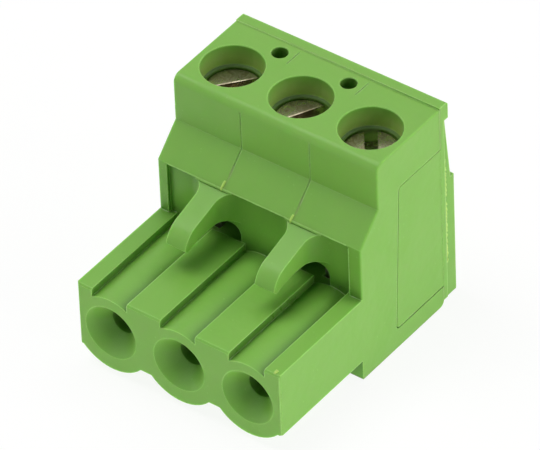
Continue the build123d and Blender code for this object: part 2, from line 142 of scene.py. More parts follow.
def from_pole(tree: Tree, point: Socket, along: str, centre_mm: float) -> Socket:
    """Measure how far the surface is from the axis of the nearest pole.

    Args:
        tree: The material's node tree.
        point: The surface point in millimetres.
        along: "Y" for the upright axes of the wells and "Z" for the level axes of the pins.
        centre_mm: Where the axes lie along Y or Z.

    Returns:
        The distance in millimetres.
    """
    parts = add_node(tree, "ShaderNodeSeparateXYZ", {"Vector": point})
    across = add_node(tree, "ShaderNodeMath", {
        0: parts.outputs["X"], 1: PITCH_MM / 2, 2: -PITCH_MM / 2,
    }, operation="WRAP")
    beside = add_node(tree, "ShaderNodeMath", {0: parts.outputs[along], 1: centre_mm}, operation="SUBTRACT")
    arm = add_node(tree, "ShaderNodeCombineXYZ", {"X": across.outputs[0], "Y": beside.outputs[0]})
    reach = add_node(tree, "ShaderNodeVectorMath", {0: arm.outputs["Vector"]}, operation="LENGTH")
    return reach.outputs["Value"]


def seen_directly(tree: Tree) -> Socket:
    """Tell whether the studio is seen by the camera, in gloss or through glass.

    Args:
        tree: The node tree of the floor or the sky.

    Returns:
        1 for such a ray and 0 for one that only carries light.
    """
    path = add_node(tree, "ShaderNodeLightPath")
    shown = add_node(tree, "ShaderNodeMath", {
        0: path.outputs["Is Camera Ray"], 1: path.outputs["Is Glossy Ray"],
    }, operation="MAXIMUM")
    passed = add_node(tree, "ShaderNodeMath", {
        0: shown.outputs[0], 1: path.outputs["Is Transmission Ray"],
    }, operation="MAXIMUM")
    return passed.outputs[0]


@dataclass(frozen=True)
class MouldedPolyamide:
    """Injection-moulded polyamide: a satin, slightly translucent plastic.

    The eye sees a fine spark-eroded grain over shallow sink marks, faint drifts of colour and pale
    crumbs where the melt flowed. The rounded edges are painted paler, a painted highlight for edges
    that are rounded and let light through. Recesses get painted shade and are smoother, and the
    funnels a darker, duller painted shade. The walls of the wells are painted paler and yellower,
    painted light for the light they reflect, and a painted shadow darkens the screw seats.

    A span runs from where its effect starts to where it is full.
    """

    name: str = "green_moulded_polyamide"
    body: str = "#8BC253"
    drift: str = "#83BD4F"
    flow_mm: float = 3.5
    flow_detail: float = 3.0
    flow_roughness: float = 0.55
    flow_warp: float = 0.6
    # Painted highlight: the rounded edges outside the wells are coloured towards this paler green.
    edge: str = "#B4E884"
    edge_highlight_share: float = 0.85
    edge_highlight_span: Span = (0.99, 0.82)
    edge_radius_mm: float = 0.12
    edge_samples: int = 6
    # Painted shade: hidden parts are coloured towards this darker green, the more the more they are hidden.
    recess_painted_shade: str = "#68993F"
    recess_shade_share: float = 0.9
    recess_mm: float = 1.6
    recess_span: Span = (0.93, 0.6)
    recess_samples: int = 8
    # Painted shade in the funnels: a darker, duller green.
    funnel_painted_shade: str = "#5F8442"
    funnel_radii_mm: Span = (1.97, 1.92)
    # Painted light: the walls of the wells are coloured this paler, yellower green for the light they reflect.
    well_painted_shading: str = "#A4C767"
    well_shading_share: float = 0.9
    well_radii_mm: Span = (2.1, 2.05)
    well_foot_mm: Span = (13.2, 13.5)
    well_rim_mm: Span = (15.1, 14.3)
    # Painted shadow: the screw seats are darkened to this green.
    seat_painted_shadow: str = "#55762C"
    seat_radii_mm: Span = (1.96, 1.93)
    crumb_mm: float = 0.5
    crumb_share: float = 0.2
    crumb_span: Span = (0.13, 0.06)
    strewn_span: Span = (0.48, 0.56)
    wave_mm: float = 0.9
    wave_detail: float = 1.5
    wave_height_mm: float = 0.025
    grain_mm: float = 0.16
    grain_detail: float = 2.0
    grain_roughness: float = 0.6
    grain_height_mm: float = 0.004
    grain_strength: float = 0.6
    roughness: float = 0.42
    sheen_span: Span = (0.3, 0.7)
    sheen_drift: float = 0.05
    polish: float = 0.12
    polish_power: float = 2.0
    ior: float = 1.53
    specular: float = 0.3
    glow: float = 0.7
    glow_mm: float = 0.45
    glow_reach: Point = (0.55, 1.0, 0.35)

    def depth(self, tree: Tree) -> Socket:
        """Tell how deep the surface lies in the hollows of its own piece.

        Args:
            tree: The material's node tree.

        Returns:
            0 in the open and 1 deep inside.
        """
        openness = add_node(
            tree, "ShaderNodeAmbientOcclusion", {"Distance": self.recess_mm * MM},
            samples=self.recess_samples, only_local=True,
        )
        depth = add_node(tree, "ShaderNodeMapRange", {
            "Value": openness.outputs["AO"], "From Min": self.recess_span[0], "From Max": self.recess_span[1],
        })
        return depth.outputs["Result"]

    def in_wells(self, tree: Tree, point: Socket, from_screw: Socket) -> Socket:
        """Tell where the surface is a wall of the wells, which takes their painted light. It sets in softly
        below the rim.

        Args:
            tree: The material's node tree.
            point: The surface point in millimetres.
            from_screw: The distance from the nearest screw's axis in millimetres.

        Returns:
            The share of the painted light on the walls of the wells.
        """
        height = add_node(tree, "ShaderNodeSeparateXYZ", {"Vector": point}).outputs["Z"]
        above_foot = add_node(tree, "ShaderNodeMapRange", {
            "Value": height, "From Min": self.well_foot_mm[0], "From Max": self.well_foot_mm[1],
        })
        around_screw = add_node(tree, "ShaderNodeMapRange", {
            "Value": from_screw, "From Min": self.well_radii_mm[0], "From Max": self.well_radii_mm[1],
            "To Max": above_foot.outputs["Result"],
        })
        below_rim = add_node(tree, "ShaderNodeMapRange", {
            "Value": height, "From Min": self.well_rim_mm[0], "From Max": self.well_rim_mm[1],
            "To Max": self.well_shading_share,
        })
        both = add_node(tree, "ShaderNodeMath", {
            0: around_screw.outputs["Result"], 1: below_rim.outputs["Result"],
        }, operation="MULTIPLY")
        return both.outputs[0]

    def tone(
        self, tree: Tree, point: Socket, flow: Socket, depth: Socket, from_screw: Socket, in_wells: Socket
    ) -> Socket:
        """Colour the open walls, paint shade into the hidden parts and the funnels, and paint light onto the
        walls of the wells with a painted shadow on the screw seats.

        Args:
            tree: The material's node tree.
            point: The surface point in millimetres.
            flow: The pattern in which the melt flowed.
            depth: How deep the surface lies in the hollows.
            from_screw: The distance from the nearest screw's axis in millimetres.
            in_wells: The share of the painted light on the walls of the wells.

        Returns:
            The colour without the painted edge highlight and the pale crumbs.
        """
        body = add_node(tree, "ShaderNodeMix", {
            "Factor": flow, "A": linear(self.body), "B": linear(self.drift),
        }, data_type="RGBA")
        # Painted shade: hidden parts are coloured darker, and the funnels darker still.
        in_funnels = add_node(tree, "ShaderNodeMapRange", {
            "Value": from_pole(tree, point, "Z", PIN_Z_MM),
            "From Min": self.funnel_radii_mm[0], "From Max": self.funnel_radii_mm[1],
        })
        deep = add_node(tree, "ShaderNodeMix", {
            "Factor": in_funnels.outputs["Result"], "A": linear(self.recess_painted_shade), "B": linear(self.funnel_painted_shade),
        }, data_type="RGBA")
        share = add_node(tree, "ShaderNodeMath", {0: depth, 1: self.recess_shade_share}, operation="MULTIPLY")
        with_recess_shade = add_node(tree, "ShaderNodeMix", {
            "Factor": share.outputs[0], "A": body.outputs["Result"], "B": deep.outputs["Result"],
        }, data_type="RGBA")
        # Painted light and shadow in the wells: paler walls, and darker screw seats.
        on_seat = add_node(tree, "ShaderNodeMapRange", {
            "Value": from_screw, "From Min": self.seat_radii_mm[0], "From Max": self.seat_radii_mm[1],
        })
        well_painted_shading = add_node(tree, "ShaderNodeMix", {
            "Factor": on_seat.outputs["Result"], "A": linear(self.well_painted_shading), "B": linear(self.seat_painted_shadow),
        }, data_type="RGBA")
        walls = add_node(tree, "ShaderNodeMix", {
            "Factor": in_wells, "A": with_recess_shade.outputs["Result"], "B": well_painted_shading.outputs["Result"],
        }, data_type="RGBA")
        return walls.outputs["Result"]

    def edge_highlight_and_crumbs(self, tree: Tree, point: Socket, flow: Socket, rounded: Socket, in_wells: Socket) -> Socket:
        """Tell where the plastic is coloured paler: a painted highlight on the rounded edges outside the
        wells, and real pale crumbs in the flow.

        Args:
            tree: The material's node tree.
            point: The surface point in millimetres.
            flow: The pattern in which the melt flowed.
            rounded: The normal with rounded edges.
            in_wells: The share of the painted light on the walls of the wells.

        Returns:
            The share of the pale colour, for the painted highlight and the crumbs alike.
        """
        geometry = add_node(tree, "ShaderNodeNewGeometry")
        agreement = add_node(tree, "ShaderNodeVectorMath", {
            0: rounded, 1: geometry.outputs["Normal"],
        }, operation="DOT_PRODUCT")
        # Painted highlight on the edges, where the rounded normal turns away from the true one.
        edge_highlight = add_node(tree, "ShaderNodeMapRange", {
            "Value": agreement.outputs["Value"], "From Min": self.edge_highlight_span[0], "From Max": self.edge_highlight_span[1],
            "To Max": self.edge_highlight_share,
        })
        outside = add_node(tree, "ShaderNodeMath", {0: 1.0, 1: in_wells}, operation="SUBTRACT")
        open_edge_highlight = add_node(tree, "ShaderNodeMath", {
            0: edge_highlight.outputs["Result"], 1: outside.outputs[0],
        }, operation="MULTIPLY")
        cells = add_node(tree, "ShaderNodeTexVoronoi", {"Vector": point, "Scale": 1 / self.crumb_mm})
        dots = add_node(tree, "ShaderNodeMapRange", {
            "Value": cells.outputs["Distance"], "From Min": self.crumb_span[0], "From Max": self.crumb_span[1],
        })
        strewn = add_node(tree, "ShaderNodeMapRange", {
            "Value": flow, "From Min": self.strewn_span[0], "From Max": self.strewn_span[1],
            "To Max": self.crumb_share,
        })
        crumbs = add_node(tree, "ShaderNodeMath", {
            0: dots.outputs["Result"], 1: strewn.outputs["Result"],
        }, operation="MULTIPLY")
        pale = add_node(tree, "ShaderNodeMath", {
            0: open_edge_highlight.outputs[0], 1: crumbs.outputs[0],
        }, operation="MAXIMUM")
        return pale.outputs[0]

    def relief(self, tree: Tree, point: Socket, rounded: Socket) -> Socket:
        """Lay the spark-eroded grain over the shallow sink marks.

        Args:
            tree: The material's node tree.
            point: The surface point in millimetres.
            rounded: The normal with rounded edges.

        Returns:
            The normal of the finished surface.
        """
        waves = add_node(tree, "ShaderNodeTexNoise", {
            "Vector": point, "Scale": 1 / self.wave_mm, "Detail": self.wave_detail,
        })
        sunk = add_node(tree, "ShaderNodeBump", {
            "Height": waves.outputs["Fac"], "Distance": self.wave_height_mm * MM, "Strength": 1.0,
            "Normal": rounded,
        })
        grain = add_node(tree, "ShaderNodeTexNoise", {
            "Vector": point, "Scale": 1 / self.grain_mm, "Detail": self.grain_detail,
            "Roughness": self.grain_roughness,
        })
        grained = add_node(tree, "ShaderNodeBump", {
            "Height": grain.outputs["Fac"], "Distance": self.grain_height_mm * MM,
            "Strength": self.grain_strength, "Normal": sunk.outputs["Normal"],
        })
        return grained.outputs["Normal"]

    def sheen(self, tree: Tree, flow: Socket, depth: Socket) -> Socket:
        """Vary the roughness with the flow, and lower it deep in the recesses.

        Args:
            tree: The material's node tree.
            flow: The pattern in which the melt flowed.
            depth: How deep the surface lies in the hollows.

        Returns:
            The roughness.
        """
        drifting = add_node(tree, "ShaderNodeMapRange", {
            "Value": flow, "From Min": self.sheen_span[0], "From Max": self.sheen_span[1],
            "To Min": self.roughness - self.sheen_drift, "To Max": self.roughness + self.sheen_drift,
        })
        deepest = add_node(tree, "ShaderNodeMath", {0: depth, 1: self.polish_power}, operation="POWER")
        polished = add_node(tree, "ShaderNodeMath", {
            0: deepest.outputs[0], 1: -self.polish, 2: drifting.outputs["Result"],
        }, operation="MULTIPLY_ADD")
        return polished.outputs[0]

    def material(self) -> Material:
        """Build the plastic's node tree.

        Returns:
            The finished material.
        """
        material, tree = empty_material(self.name)
        point = millimetres(tree)
        flow = add_node(tree, "ShaderNodeTexNoise", {
            "Vector": point, "Scale": 1 / self.flow_mm, "Detail": self.flow_detail,
            "Roughness": self.flow_roughness, "Distortion": self.flow_warp,
        }).outputs["Fac"]
        edge_radius = self.edge_radius_mm * MM
        bevel = add_node(tree, "ShaderNodeBevel", {"Radius": edge_radius}, samples=self.edge_samples)
        rounded = bevel.outputs["Normal"]
        depth = self.depth(tree)
        from_screw = from_pole(tree, point, "Y", WELL_Y_MM)
        in_wells = self.in_wells(tree, point, from_screw)
        tone = self.tone(tree, point, flow, depth, from_screw, in_wells)
        pale = self.edge_highlight_and_crumbs(tree, point, flow, rounded, in_wells)
        # The pale colour paints the edge highlight, and also marks the crumbs.
        colour = add_node(tree, "ShaderNodeMix", {
            "Factor": pale, "A": tone, "B": linear(self.edge),
        }, data_type="RGBA")
        shader = add_node(tree, "ShaderNodeBsdfPrincipled", {
            "Base Color": colour.outputs["Result"],
            "Roughness": self.sheen(tree, flow, depth),
            "IOR": self.ior,
            "Specular IOR Level": self.specular,
            "Normal": self.relief(tree, point, rounded),
            "Subsurface Weight": self.glow,
            "Subsurface Radius": self.glow_reach,
            "Subsurface Scale": self.glow_mm * MM,
        })
        add_node(tree, "ShaderNodeOutputMaterial", {"Surface": shader.outputs["BSDF"]})
        return material


class Lay(Enum):
    """The way in which a metal surface was worked, which sets how its marks run."""

    TURNED = "turned"
    ROLLED = "rolled"


@dataclass(frozen=True)
class PlatedMetal:
    """Electroplated metal: a thin bright plating over tool marks, dulled by a film of oil and handling.

    Turned pieces show fine rings about the screw's axis, and rolled strip shows straight hairlines.
    """

    name: str
    bright: str
    dull: str
    roughness: float
    lay: Lay
    axis_y_mm: float = 0.0
    marks_mm: float = 0.11
    marks_detail: float = 3.0
    mark_height_mm: float = 0.004
    mark_strength: float = 0.7
    hair_squeeze: float = 0.25
    stain_mm: float = 0.7
    stain_detail: float = 4.0
    stain_roughness: float = 0.6
    stain_warp: float = 0.8
    stain_span: Span = (0.38, 0.62)
    clean_gloss: float = 0.06
    stain_haze: float = 0.1

    def marks(self, tree: Tree, point: Socket) -> Socket:
        """Draw the tool marks.

        Args:
            tree: The material's node tree.
            point: The surface point in millimetres.

        Returns:
            The height of the marks, from 0 to 1.
        """
        fine = 1 / self.marks_mm
        if self.lay is Lay.ROLLED:
            stretched = add_node(tree, "ShaderNodeMapping", {
                "Vector": point, "Scale": (fine, self.hair_squeeze * fine, fine),
            })
            hairs = add_node(tree, "ShaderNodeTexNoise", {
                "Vector": stretched.outputs["Vector"], "Scale": 1.0, "Detail": self.marks_detail,
            })
            return hairs.outputs["Fac"]
        rings = add_node(tree, "ShaderNodeTexNoise", {
            "W": from_pole(tree, point, "Y", self.axis_y_mm), "Scale": fine, "Detail": self.marks_detail,
        }, noise_dimensions="1D")
        return rings.outputs["Fac"]

    def material(self) -> Material:
        """Build the metal's node tree.

        Returns:
            The finished material.
        """
        material, tree = empty_material(self.name)
        point = millimetres(tree)
        film = add_node(tree, "ShaderNodeTexNoise", {
            "Vector": point, "Scale": 1 / self.stain_mm, "Detail": self.stain_detail,
            "Roughness": self.stain_roughness, "Distortion": self.stain_warp,
        })
        stain = add_node(tree, "ShaderNodeMapRange", {
            "Value": film.outputs["Fac"], "From Min": self.stain_span[0], "From Max": self.stain_span[1],
        })
        colour = add_node(tree, "ShaderNodeMix", {
            "Factor": stain.outputs["Result"], "A": linear(self.bright), "B": linear(self.dull),
        }, data_type="RGBA")
        gloss = add_node(tree, "ShaderNodeMapRange", {
            "Value": stain.outputs["Result"],
            "To Min": self.roughness - self.clean_gloss, "To Max": self.roughness + self.stain_haze,
        })
        relief = add_node(tree, "ShaderNodeBump", {
            "Height": self.marks(tree, point),
            "Distance": self.mark_height_mm * MM, "Strength": self.mark_strength,
        })
        shader = add_node(tree, "ShaderNodeBsdfPrincipled", {
            "Base Color": colour.outputs["Result"],
            "Metallic": 1.0,
            "Roughness": gloss.outputs["Result"],
            "Normal": relief.outputs["Normal"],
        })
        add_node(tree, "ShaderNodeOutputMaterial", {"Surface": shader.outputs["BSDF"]})
        return material


@dataclass(frozen=True)
class DarkSpeck:
    """A matt dark crumb in the plastic, with a paler mottle."""

    name: str = "matt_dark_speck"
    colour: str = "#33421F"
    pale: str = "#4A5E2E"
    mottle_mm: float = 0.05
    mottle_detail: float = 2.0
    roughness: float = 0.8
    ior: float = 1.5

    def material(self) -> Material:
        """Build the speck's node tree.

        Returns:
            The finished material.
        """
        material, tree = empty_material(self.name)
        mottle = add_node(tree, "ShaderNodeTexNoise", {
            "Vector": millimetres(tree), "Scale": 1 / self.mottle_mm, "Detail": self.mottle_detail,
        })
        colour = add_node(tree, "ShaderNodeMix", {
            "Factor": mottle.outputs["Fac"], "A": linear(self.colour), "B": linear(self.pale),
        }, data_type="RGBA")
        shader = add_node(tree, "ShaderNodeBsdfPrincipled", {
            "Base Color": colour.outputs["Result"],
            "Roughness": self.roughness,
            "IOR": self.ior,
        })
        add_node(tree, "ShaderNodeOutputMaterial", {"Surface": shader.outputs["BSDF"]})
        return material


@dataclass(frozen=True)
class StudioWhite:
    """Matt white sweep, lit from below as on a light table.

    It shows as plain white to the camera and in gloss, and keeps a soft shadow.
    """

    name: str = "matt_white_sweep"
    paper: str = "#F2F2F0"
    fibre: str = "#F6F6F4"
    fibre_scale: float = 40.0
    fibre_detail: float = 2.0
    shadow_share: float = 0.15
    shown_level: float = 1.05
    under_light: float = 0.46

    def material(self) -> Material:
        """Build the floor's node tree.

        Returns:
            The finished material.
        """
        material, tree = empty_material(self.name)
        fibres = add_node(tree, "ShaderNodeTexNoise", {
            "Scale": self.fibre_scale, "Detail": self.fibre_detail,
        })
        shade = add_node(tree, "ShaderNodeMix", {
            "Factor": fibres.outputs["Fac"], "A": linear(self.paper), "B": linear(self.fibre),
        }, data_type="RGBA")
        paper = add_node(tree, "ShaderNodeBsdfDiffuse", {"Color": shade.outputs["Result"]})
        shown = add_node(tree, "ShaderNodeEmission", {"Color": WHITE, "Strength": self.shown_level})
        seen = add_node(tree, "ShaderNodeMixShader", {
            "Fac": self.shadow_share, 1: shown.outputs["Emission"], 2: paper.outputs["BSDF"],
        })
        table = add_node(tree, "ShaderNodeEmission", {"Color": WHITE, "Strength": self.under_light})
        sheet = add_node(tree, "ShaderNodeAddShader", {
            0: paper.outputs["BSDF"], 1: table.outputs["Emission"],
        })
        surface = add_node(tree, "ShaderNodeMixShader", {
            "Fac": seen_directly(tree), 1: sheet.outputs["Shader"], 2: seen.outputs["Shader"],
        })
        add_node(tree, "ShaderNodeOutputMaterial", {"Surface": surface.outputs["Shader"]})
        return material


def select_only(piece: Piece) -> None:
    """Make a piece the one selected and active object.

    Args:
        piece: The object to select.
    """
    if bpy.context.object and bpy.context.object.mode != "OBJECT":
        bpy.ops.object.mode_set(mode="OBJECT")
    bpy.ops.object.select_all(action="DESELECT")
    piece.select_set(True)
    bpy.context.view_layer.objects.active = piece


def new_piece(name: str) -> Piece:
    """Name the object that an operator has just added.

    Args:
        name: The piece's name.

    Returns:
        The object.
    """
    piece = bpy.context.active_object
    piece.name = name
    piece.data.name = name
    return piece


def select_edges(piece: Piece, wanted: Callable[[Vector, Vector], bool]) -> None:
    """Go into edit mode with only some edges of the active piece selected.

    Args:
        piece: The active object.
        wanted: Tells from the places of an edge's two ends whether it is selected.
    """
    bpy.ops.object.mode_set(mode="EDIT")
    bpy.ops.mesh.select_mode(type="EDGE")
    bpy.ops.mesh.select_all(action="DESELECT")
    bpy.ops.object.mode_set(mode="OBJECT")
    for edge in piece.data.edges:
        first, second = (piece.data.vertices[index].co for index in edge.vertices)
        edge.select = wanted(first, second)
    bpy.ops.object.mode_set(mode="EDIT")


def apply_modifier(piece: Piece, kind: str, **settings) -> None:
    """Add a modifier to a piece and apply it.

    Args:
        piece: The object that the modifier shapes.
        kind: The modifier's type name.
        settings: Properties of the modifier.
    """
    select_only(piece)
    modifier = piece.modifiers.new(kind.lower(), kind)
    for name, value in settings.items():
        setattr(modifier, name, value)
    bpy.ops.object.modifier_apply(modifier=modifier.name)


def settle(piece: Piece, material: Material, smooth_deg: float = 35.0) -> None:
    """Put a finished piece's place into its mesh, point its faces out and give it its material.

    Args:
        piece: The finished object.
        material: The material of the whole piece.
        smooth_deg: Edges flatter than this are shaded smooth.
    """
    select_only(piece)
    bpy.ops.object.transform_apply(location=True, rotation=True, scale=True)
    bpy.ops.object.mode_set(mode="EDIT")
    bpy.ops.mesh.select_all(action="SELECT")
    bpy.ops.mesh.remove_doubles(threshold=MERGE_MM * MM)
    bpy.ops.mesh.normals_make_consistent(inside=False)
    bpy.ops.object.mode_set(mode="OBJECT")
    bpy.ops.object.shade_smooth_by_angle(angle=math.radians(smooth_deg))
    piece.data.materials.clear()
    piece.data.materials.append(material)


def dress(node: str, material: Material) -> None:
    """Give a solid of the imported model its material.

    Args:
        node: The solid's node name.
        material: The material of the whole solid.
    """
    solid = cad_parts[node]
    solid.data.materials.clear()
    solid.data.materials.append(material)
    LOG.info("dressed %s in %s", node, material.name)


@dataclass
class Body:
    """The moulded housing with its rear cover, and the metal parts inside each pole."""

    plastic: MouldedPolyamide = MouldedPolyamide()
    contact_metal: PlatedMetal = PlatedMetal(
        "tin_plated_copper_strip", "#C9C6BC", "#A39E90", roughness=0.34, lay=Lay.ROLLED, marks_mm=0.06,
    )
    cage_metal: PlatedMetal = PlatedMetal(
        "zinc_plated_stamped_steel", "#B9BAB6", "#8E8C84", roughness=0.38, lay=Lay.ROLLED, marks_mm=0.08,
    )

    def build(self) -> None:
        """Give the carried-over solids their materials."""
        green = self.plastic.material()
        for node in ("housing", "rear_cover"):
            dress(node, green)
        tin = self.contact_metal.material()
        zinc = self.cage_metal.material()
        for number in POLES:
            dress(f"contact_{number}", tin)
            dress(f"clamp_cage_{number}", zinc)


@dataclass
class ClampScrew:
    """The captive slotted clamping screws, with a turned head and a rolled thread, in millimetres."""

    metal: PlatedMetal = PlatedMetal(
        "zinc_plated_turned_steel", "#D6CCB3", "#8D8369", roughness=0.27, lay=Lay.TURNED, axis_y_mm=WELL_Y_MM,
    )
    drive_deg: tuple[float, float, float] = (51.0, 63.0, 127.0)
    head_height: float = 2.0
    head_sides: int = 72
    rim_round: float = 0.15
    rim_steps: int = 5
    slot_width: float = 0.8
    slot_depth: float = 0.9
    slot_burr: float = 0.035
    burr_steps: int = 2
    burr_deg: float = 50.0
    cutter_reach: float = 3.0
    shank_r: float = 1.3
    shank_sides: int = 48
    shank_sunk: float = 0.1
    tip_chamfer: float = 0.3
    core_round_share: float = 0.6
    core_round_steps: int = 2
    neck: float = 0.5
    thread_pitch: float = 0.5
    thread_depth: float = 0.27
    thread_steps: int = 40
    thread_squash: float = 0.9
    thread_sunk: float = 0.03

    def head(self, radius: float, top: float) -> Piece:
        """Model the slotted head about the Z axis.

        Args:
            radius: The head's radius in metres.
            top: The height of the head's top in metres.

        Returns:
            The head as one closed mesh.
        """
        height = self.head_height * MM
        bpy.ops.object.select_all(action="DESELECT")
        bpy.ops.mesh.primitive_cylinder_add(
            vertices=self.head_sides, radius=radius, depth=height, location=(0, 0, top - height / 2)
        )
        head = new_piece("screw_head")
        bpy.ops.object.transform_apply(location=True, rotation=True, scale=True)
        select_edges(head, lambda first, second: min(first.z, second.z) > top - NEAR_MM * MM)
        bpy.ops.mesh.bevel(offset=self.rim_round * MM, segments=self.rim_steps, affect="EDGES")
        bpy.ops.object.mode_set(mode="OBJECT")
        bpy.ops.object.select_all(action="DESELECT")
        bpy.ops.mesh.primitive_cube_add(size=1, location=(0, 0, top))
        cutter = new_piece("slot_cutter")
        cutter.scale = (self.cutter_reach * radius, self.slot_width * MM, 2 * self.slot_depth * MM)
        bpy.ops.object.transform_apply(location=True, rotation=True, scale=True)
        apply_modifier(head, "BOOLEAN", operation="DIFFERENCE", object=cutter, solver="EXACT")
        bpy.data.objects.remove(cutter)
        apply_modifier(
            head, "BEVEL", width=self.slot_burr * MM, segments=self.burr_steps, limit_method="ANGLE",
            angle_limit=math.radians(self.burr_deg),
        )
        return head

    def shank(self, high: float, low: float) -> Piece:
        """Model the shank with its thread about the Z axis. All the edges of the core are rounded.

        Args:
            high: The height of the head's underside in metres.
            low: The height of the tip in metres.

        Returns:
            The shank as one mesh.
        """
        core_r = (self.shank_r - self.thread_depth) * MM
        top = high + self.shank_sunk * MM
        bpy.ops.object.select_all(action="DESELECT")
        bpy.ops.mesh.primitive_cylinder_add(
            vertices=self.shank_sides, radius=core_r, depth=top - low, location=(0, 0, (top + low) / 2)
        )
        core = new_piece("screw_shank")
        bpy.ops.object.transform_apply(location=True, rotation=True, scale=True)
        select_edges(core, lambda first, second: True)
        rounding = self.tip_chamfer * MM * self.core_round_share
        bpy.ops.mesh.bevel(offset=rounding, segments=self.core_round_steps, affect="EDGES")
        bpy.ops.object.mode_set(mode="OBJECT")
        turns = int((high - low - (self.neck + self.tip_chamfer) * MM) / (self.thread_pitch * MM))
        bpy.ops.object.select_all(action="DESELECT")
        bpy.ops.mesh.primitive_circle_add(
            vertices=3, radius=self.thread_depth * MM, fill_type="NGON",
            rotation=(math.pi / 2, math.pi / 2, 0),
        )
        ridge = new_piece("screw_thread")
        bpy.ops.object.transform_apply(location=False, rotation=True, scale=False)
        outer = max(vertex.co.x for vertex in ridge.data.vertices)
        for vertex in ridge.data.vertices:
            at_crest = vertex.co.x > outer - NEAR_MM * MM
            vertex.co.x = self.shank_r * MM if at_crest else core_r - self.thread_sunk * MM
            vertex.co.z = low + self.tip_chamfer * MM + vertex.co.z * self.thread_squash
        apply_modifier(
            ridge, "SCREW", angle=2 * math.pi, screw_offset=self.thread_pitch * MM, iterations=turns,
            steps=self.thread_steps, render_steps=self.thread_steps, axis="Z", use_smooth_shade=False,
        )
        select_only(core)
        ridge.select_set(True)
        bpy.ops.object.join()
        return core

    def build(self) -> None:
        """Model one screw, and set a copy of it in each pole at its own angle."""
        material = self.metal.material()
        low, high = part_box("screw_1")
        radius = (high.x - low.x) / 2
        under = high.z - self.head_height * MM
        pattern = self.head(radius, high.z)
        shank = self.shank(under, low.z)
        select_only(pattern)
        shank.select_set(True)
        bpy.ops.object.join()
        for number, angle in zip(POLES, self.drive_deg):
            corner, far_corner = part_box(f"screw_{number}")
            centre = (corner + far_corner) / 2
            screw = pattern.copy()
            screw.data = pattern.data.copy()
            screw.name = screw.data.name = f"threaded_screw_{number}"
            bpy.context.scene.collection.objects.link(screw)
            screw.location = (centre.x, centre.y, 0)
            screw.rotation_euler = (0, 0, math.radians(angle))
            settle(screw, material)
            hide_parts(f"screw_{number}")
            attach(screw, f"screw_{number}")
            LOG.info("screw %d stands at %.1f degrees", number, angle)
        bpy.data.objects.remove(pattern)


class Plastic(Enum):
    """The plastics of the moulding marks."""

    WALL = "wall"
    EDGE = "edge"
    FLASH = "flash"


# Lines this thin let no light wander inside them, so they carry none of the walls' inner glow.
# The parting-line and flash plastics are coloured paler than the walls: a painted highlight along the parting
# lines, and painted light shining through the thin flash. The weld line's hollows get a lighter painted shade.
MARK_PLASTICS = {
    Plastic.WALL: MouldedPolyamide("polyamide_weld_line", recess_painted_shade="#79B247", polish=0.0, glow=0.0),
    Plastic.EDGE: MouldedPolyamide(
        "polyamide_parting_line_painted_highlight", body="#A2DA6E", drift="#93CE60", edge="#B0E27C", recess_painted_shade="#93CE60",
        polish=0.0, flow_mm=0.8, glow=0.0,
    ),
    Plastic.FLASH: MouldedPolyamide(
        "thin_polyamide_flash_painted_light", body="#D0F078", drift="#AFDC62", edge="#DDF79A", recess_painted_shade="#B4DC62",
        polish=0.0, flow_mm=0.5, glow=0.0,
    ),
}


@dataclass(frozen=True)
class Nub:
    """A nub of flash, in millimetres: its middle, its length to the front and its lean in degrees."""

    place: Point
    length: float
    tilt: float


@dataclass(frozen=True)
class FlashLine:
    """A thin straight line of flash or weld along an edge, in millimetres."""

    name: str
    start: Point
    end: Point
    width: float
    ragged: float
    plastic: Plastic


@dataclass(frozen=True)
class DarkSpot:
    """A dark speck flush in a wall, in millimetres: its middle, the wall's direction and its radius."""

    place: Point
    normal: Point
    radius: float


